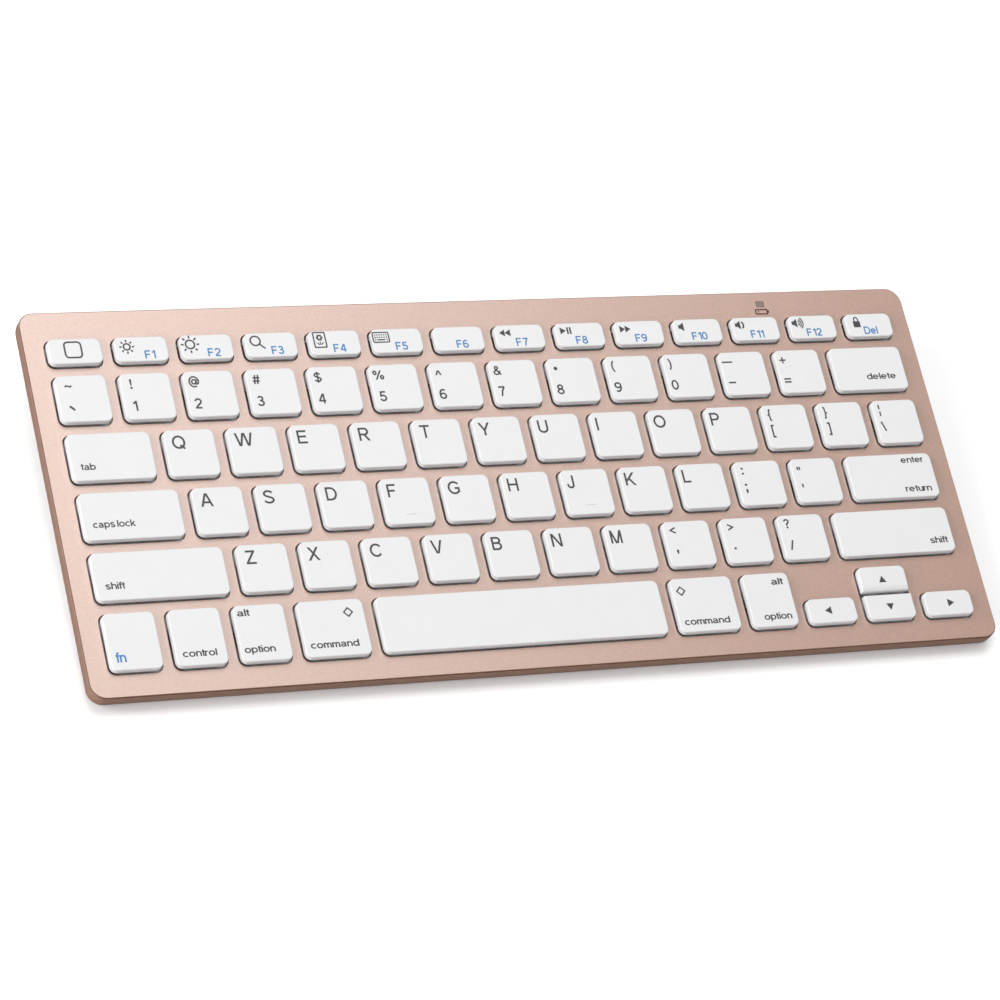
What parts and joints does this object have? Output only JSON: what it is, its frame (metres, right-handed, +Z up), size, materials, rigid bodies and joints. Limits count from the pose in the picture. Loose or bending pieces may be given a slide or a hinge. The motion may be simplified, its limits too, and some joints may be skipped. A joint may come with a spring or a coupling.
{
  "type": "compact wireless keyboard",
  "caption": "Thin free-standing wireless keyboard with a tilted metal deck, low-travel white keycaps and a battery bar under its rear edge.",
  "frame": {"origin": "centre of the bounding box, on the table plane that the feet stand on", "axes": "+X to the typist's right along the long side, +Y away from the typist, +Z up; the deck slopes 6 degrees down towards -Y"},
  "size_m": [0.2854, 0.1188, 0.0196],
  "materials": {
    "case_top": "satin rose gold with a fine grain",
    "case_bottom": "fine moulded texture",
    "keycap": "smooth satin white",
    "cell": "printed film sleeve",
    "spring": "plated spring wire",
    "dome": "translucent silicone",
    "film": "printed polyester film",
    "plate": "rolled sheet",
    "board": "solder mask",
    "control": "satin",
    "lens": "frosted",
    "foot": "matt"
  },
  "bodies": {
    "case": {"battery_left": "cell", "battery_right": "cell", "battery_spring": "spring", "bottom_cover": "case_bottom", "controller_board": "board", "dome_sheet": "dome", "front_foot": "foot", "membrane_circuit": "film", "rear_foot_left": "foot", "rear_foot_right": "foot", "status_light_lens": "lens", "support_plate": "plate", "top_case": "case_top"},
    "bracket_key_strip": {"bracket_key_strip": "keycap"},
    "function_key_strip": {"function_key_strip": "keycap"},
    "key_a": {"key_a": "keycap"},
    "key_b": {"key_b": "keycap"},
    "key_c": {"key_c": "keycap"},
    "key_caps_lock": {"key_caps_lock": "keycap"},
    "key_d": {"key_d": "keycap"},
    "key_down_arrow": {"key_down_arrow": "keycap"},
    "key_e": {"key_e": "keycap"},
    "key_enter": {"key_enter": "keycap"},
    "key_f": {"key_f": "keycap"},
    "key_g": {"key_g": "keycap"},
    "key_h": {"key_h": "keycap"},
    "key_i": {"key_i": "keycap"},
    "key_j": {"key_j": "keycap"},
    "key_k": {"key_k": "keycap"},
    "key_l": {"key_l": "keycap"},
    "key_left_arrow": {"key_left_arrow": "keycap"},
    "key_left_command": {"key_left_command": "keycap"},
    "key_left_shift": {"key_left_shift": "keycap"},
    "key_m": {"key_m": "keycap"},
    "key_n": {"key_n": "keycap"},
    "key_o": {"key_o": "keycap"},
    "key_p": {"key_p": "keycap"},
    "key_q": {"key_q": "keycap"},
    "key_r": {"key_r": "keycap"},
    "key_right_arrow": {"key_right_arrow": "keycap"},
    "key_right_shift": {"key_right_shift": "keycap"},
    "key_s": {"key_s": "keycap"},
    "key_space": {"key_space": "keycap"},
    "key_t": {"key_t": "keycap"},
    "key_tab": {"key_tab": "keycap"},
    "key_u": {"key_u": "keycap"},
    "key_up_arrow": {"key_up_arrow": "keycap"},
    "key_v": {"key_v": "keycap"},
    "key_w": {"key_w": "keycap"},
    "key_x": {"key_x": "keycap"},
    "key_y": {"key_y": "keycap"},
    "key_z": {"key_z": "keycap"},
    "modifier_key_strip": {"modifier_key_strip": "keycap"},
    "number_key_strip": {"number_key_strip": "keycap"},
    "punctuation_key_strip": {"punctuation_key_strip": "keycap"},
    "quote_key_pair": {"quote_key_pair": "keycap"},
    "right_modifier_key_pair": {"right_modifier_key_pair": "keycap"},
    "battery_door": {"battery_door": "case_bottom"},
    "power_switch": {"power_switch": "control"},
    "pairing_button": {"pairing_button": "control"}
  },
  "joints": [
    {"name": "bracket_key_strip_press", "type": "slide", "parent": "case", "child": "bracket_key_strip", "axis": [0, 0.1045, -0.9945], "range_m": [0, 0.0018], "stiffness_N_per_m": 500, "springref_m": -0.0008, "deforming": ["dome_sheet"]},
    {"name": "function_key_strip_press", "type": "slide", "parent": "case", "child": "function_key_strip", "axis": [0, 0.1045, -0.9945], "range_m": [0, 0.0018], "stiffness_N_per_m": 900, "springref_m": -0.0008, "deforming": ["dome_sheet"]},
    {"name": "key_a_press", "type": "slide", "parent": "case", "child": "key_a", "axis": [0, 0.1045, -0.9945], "range_m": [0, 0.0018], "stiffness_N_per_m": 250, "springref_m": -0.0008, "deforming": ["dome_sheet"]},
    {"name": "key_b_press", "type": "slide", "parent": "case", "child": "key_b", "axis": [0, 0.1045, -0.9945], "range_m": [0, 0.0018], "stiffness_N_per_m": 250, "springref_m": -0.0008, "deforming": ["dome_sheet"]},
    {"name": "key_c_press", "type": "slide", "parent": "case", "child": "key_c", "axis": [0, 0.1045, -0.9945], "range_m": [0, 0.0018], "stiffness_N_per_m": 250, "springref_m": -0.0008, "deforming": ["dome_sheet"]},
    {"name": "key_caps_lock_press", "type": "slide", "parent": "case", "child": "key_caps_lock", "axis": [0, 0.1045, -0.9945], "range_m": [0, 0.0018], "stiffness_N_per_m": 250, "springref_m": -0.0008, "deforming": ["dome_sheet"]},
    {"name": "key_d_press", "type": "slide", "parent": "case", "child": "key_d", "axis": [0, 0.1045, -0.9945], "range_m": [0, 0.0018], "stiffness_N_per_m": 250, "springref_m": -0.0008, "deforming": ["dome_sheet"]},
    {"name": "key_down_arrow_press", "type": "slide", "parent": "case", "child": "key_down_arrow", "axis": [0, 0.1045, -0.9945], "range_m": [0, 0.0018], "stiffness_N_per_m": 250, "springref_m": -0.0008, "deforming": ["dome_sheet"]},
    {"name": "key_e_press", "type": "slide", "parent": "case", "child": "key_e", "axis": [0, 0.1045, -0.9945], "range_m": [0, 0.0018], "stiffness_N_per_m": 250, "springref_m": -0.0008, "deforming": ["dome_sheet"]},
    {"name": "key_enter_press", "type": "slide", "parent": "case", "child": "key_enter", "axis": [0, 0.1045, -0.9945], "range_m": [0, 0.0018], "stiffness_N_per_m": 250, "springref_m": -0.0008, "deforming": ["dome_sheet"]},
    {"name": "key_f_press", "type": "slide", "parent": "case", "child": "key_f", "axis": [0, 0.1045, -0.9945], "range_m": [0, 0.0018], "stiffness_N_per_m": 250, "springref_m": -0.0008, "deforming": ["dome_sheet"]},
    {"name": "key_g_press", "type": "slide", "parent": "case", "child": "key_g", "axis": [0, 0.1045, -0.9945], "range_m": [0, 0.0018], "stiffness_N_per_m": 250, "springref_m": -0.0008, "deforming": ["dome_sheet"]},
    {"name": "key_h_press", "type": "slide", "parent": "case", "child": "key_h", "axis": [0, 0.1045, -0.9945], "range_m": [0, 0.0018], "stiffness_N_per_m": 250, "springref_m": -0.0008, "deforming": ["dome_sheet"]},
    {"name": "key_i_press", "type": "slide", "parent": "case", "child": "key_i", "axis": [0, 0.1045, -0.9945], "range_m": [0, 0.0018], "stiffness_N_per_m": 250, "springref_m": -0.0008, "deforming": ["dome_sheet"]},
    {"name": "key_j_press", "type": "slide", "parent": "case", "child": "key_j", "axis": [0, 0.1045, -0.9945], "range_m": [0, 0.0018], "stiffness_N_per_m": 250, "springref_m": -0.0008, "deforming": ["dome_sheet"]},
    {"name": "key_k_press", "type": "slide", "parent": "case", "child": "key_k", "axis": [0, 0.1045, -0.9945], "range_m": [0, 0.0018], "stiffness_N_per_m": 250, "springref_m": -0.0008, "deforming": ["dome_sheet"]},
    {"name": "key_l_press", "type": "slide", "parent": "case", "child": "key_l", "axis": [0, 0.1045, -0.9945], "range_m": [0, 0.0018], "stiffness_N_per_m": 250, "springref_m": -0.0008, "deforming": ["dome_sheet"]},
    {"name": "key_left_arrow_press", "type": "slide", "parent": "case", "child": "key_left_arrow", "axis": [0, 0.1045, -0.9945], "range_m": [0, 0.0018], "stiffness_N_per_m": 250, "springref_m": -0.0008, "deforming": ["dome_sheet"]},
    {"name": "key_left_command_press", "type": "slide", "parent": "case", "child": "key_left_command", "axis": [0, 0.1045, -0.9945], "range_m": [0, 0.0018], "stiffness_N_per_m": 250, "springref_m": -0.0008, "deforming": ["dome_sheet"]},
    {"name": "key_left_shift_press", "type": "slide", "parent": "case", "child": "key_left_shift", "axis": [0, 0.1045, -0.9945], "range_m": [0, 0.0018], "stiffness_N_per_m": 250, "springref_m": -0.0008, "deforming": ["dome_sheet"]},
    {"name": "key_m_press", "type": "slide", "parent": "case", "child": "key_m", "axis": [0, 0.1045, -0.9945], "range_m": [0, 0.0018], "stiffness_N_per_m": 250, "springref_m": -0.0008, "deforming": ["dome_sheet"]},
    {"name": "key_n_press", "type": "slide", "parent": "case", "child": "key_n", "axis": [0, 0.1045, -0.9945], "range_m": [0, 0.0018], "stiffness_N_per_m": 250, "springref_m": -0.0008, "deforming": ["dome_sheet"]},
    {"name": "key_o_press", "type": "slide", "parent": "case", "child": "key_o", "axis": [0, 0.1045, -0.9945], "range_m": [0, 0.0018], "stiffness_N_per_m": 250, "springref_m": -0.0008, "deforming": ["dome_sheet"]},
    {"name": "key_p_press", "type": "slide", "parent": "case", "child": "key_p", "axis": [0, 0.1045, -0.9945], "range_m": [0, 0.0018], "stiffness_N_per_m": 250, "springref_m": -0.0008, "deforming": ["dome_sheet"]},
    {"name": "key_q_press", "type": "slide", "parent": "case", "child": "key_q", "axis": [0, 0.1045, -0.9945], "range_m": [0, 0.0018], "stiffness_N_per_m": 250, "springref_m": -0.0008, "deforming": ["dome_sheet"]},
    {"name": "key_r_press", "type": "slide", "parent": "case", "child": "key_r", "axis": [0, 0.1045, -0.9945], "range_m": [0, 0.0018], "stiffness_N_per_m": 250, "springref_m": -0.0008, "deforming": ["dome_sheet"]},
    {"name": "key_right_arrow_press", "type": "slide", "parent": "case", "child": "key_right_arrow", "axis": [0, 0.1045, -0.9945], "range_m": [0, 0.0018], "stiffness_N_per_m": 250, "springref_m": -0.0008, "deforming": ["dome_sheet"]},
    {"name": "key_right_shift_press", "type": "slide", "parent": "case", "child": "key_right_shift", "axis": [0, 0.1045, -0.9945], "range_m": [0, 0.0018], "stiffness_N_per_m": 250, "springref_m": -0.0008, "deforming": ["dome_sheet"]},
    {"name": "key_s_press", "type": "slide", "parent": "case", "child": "key_s", "axis": [0, 0.1045, -0.9945], "range_m": [0, 0.0018], "stiffness_N_per_m": 250, "springref_m": -0.0008, "deforming": ["dome_sheet"]},
    {"name": "key_space_press", "type": "slide", "parent": "case", "child": "key_space", "axis": [0, 0.1045, -0.9945], "range_m": [0, 0.0018], "stiffness_N_per_m": 250, "springref_m": -0.0008, "deforming": ["dome_sheet"]},
    {"name": "key_t_press", "type": "slide", "parent": "case", "child": "key_t", "axis": [0, 0.1045, -0.9945], "range_m": [0, 0.0018], "stiffness_N_per_m": 250, "springref_m": -0.0008, "deforming": ["dome_sheet"]},
    {"name": "key_tab_press", "type": "slide", "parent": "case", "child": "key_tab", "axis": [0, 0.1045, -0.9945], "range_m": [0, 0.0018], "stiffness_N_per_m": 250, "springref_m": -0.0008, "deforming": ["dome_sheet"]},
    {"name": "key_u_press", "type": "slide", "parent": "case", "child": "key_u", "axis": [0, 0.1045, -0.9945], "range_m": [0, 0.0018], "stiffness_N_per_m": 250, "springref_m": -0.0008, "deforming": ["dome_sheet"]},
    {"name": "key_up_arrow_press", "type": "slide", "parent": "case", "child": "key_up_arrow", "axis": [0, 0.1045, -0.9945], "range_m": [0, 0.0018], "stiffness_N_per_m": 250, "springref_m": -0.0008, "deforming": ["dome_sheet"]},
    {"name": "key_v_press", "type": "slide", "parent": "case", "child": "key_v", "axis": [0, 0.1045, -0.9945], "range_m": [0, 0.0018], "stiffness_N_per_m": 250, "springref_m": -0.0008, "deforming": ["dome_sheet"]},
    {"name": "key_w_press", "type": "slide", "parent": "case", "child": "key_w", "axis": [0, 0.1045, -0.9945], "range_m": [0, 0.0018], "stiffness_N_per_m": 250, "springref_m": -0.0008, "deforming": ["dome_sheet"]},
    {"name": "key_x_press", "type": "slide", "parent": "case", "child": "key_x", "axis": [0, 0.1045, -0.9945], "range_m": [0, 0.0018], "stiffness_N_per_m": 250, "springref_m": -0.0008, "deforming": ["dome_sheet"]},
    {"name": "key_y_press", "type": "slide", "parent": "case", "child": "key_y", "axis": [0, 0.1045, -0.9945], "range_m": [0, 0.0018], "stiffness_N_per_m": 250, "springref_m": -0.0008, "deforming": ["dome_sheet"]},
    {"name": "key_z_press", "type": "slide", "parent": "case", "child": "key_z", "axis": [0, 0.1045, -0.9945], "range_m": [0, 0.0018], "stiffness_N_per_m": 250, "springref_m": -0.0008, "deforming": ["dome_sheet"]},
    {"name": "modifier_key_strip_press", "type": "slide", "parent": "case", "child": "modifier_key_strip", "axis": [0, 0.1045, -0.9945], "range_m": [0, 0.0018], "stiffness_N_per_m": 500, "springref_m": -0.0008, "deforming": ["dome_sheet"]},
    {"name": "number_key_strip_press", "type": "slide", "parent": "case", "child": "number_key_strip", "axis": [0, 0.1045, -0.9945], "range_m": [0, 0.0018], "stiffness_N_per_m": 900, "springref_m": -0.0008, "deforming": ["dome_sheet"]},
    {"name": "punctuation_key_strip_press", "type": "slide", "parent": "case", "child": "punctuation_key_strip", "axis": [0, 0.1045, -0.9945], "range_m": [0, 0.0018], "stiffness_N_per_m": 500, "springref_m": -0.0008, "deforming": ["dome_sheet"]},
    {"name": "quote_key_pair_press", "type": "slide", "parent": "case", "child": "quote_key_pair", "axis": [0, 0.1045, -0.9945], "range_m": [0, 0.0018], "stiffness_N_per_m": 500, "springref_m": -0.0008, "deforming": ["dome_sheet"]},
    {"name": "right_modifier_key_pair_press", "type": "slide", "parent": "case", "child": "right_modifier_key_pair", "axis": [0, 0.1045, -0.9945], "range_m": [0, 0.0018], "stiffness_N_per_m": 500, "springref_m": -0.0008, "deforming": ["dome_sheet"]},
    {"name": "battery_door_slide", "type": "slide", "parent": "case", "child": "battery_door", "axis": [0, 0.9945, 0.1045], "range_m": [0, 0.02]},
    {"name": "power_switch_slide", "type": "slide", "parent": "case", "child": "power_switch", "axis": [1, 0, 0], "range_m": [0, 0.003]},
    {"name": "pairing_button_press", "type": "slide", "parent": "case", "child": "pairing_button", "axis": [0, -0.9945, -0.1045], "range_m": [0, 0.0004], "stiffness_N_per_m": 300, "springref_m": -0.0003}
  ]
}
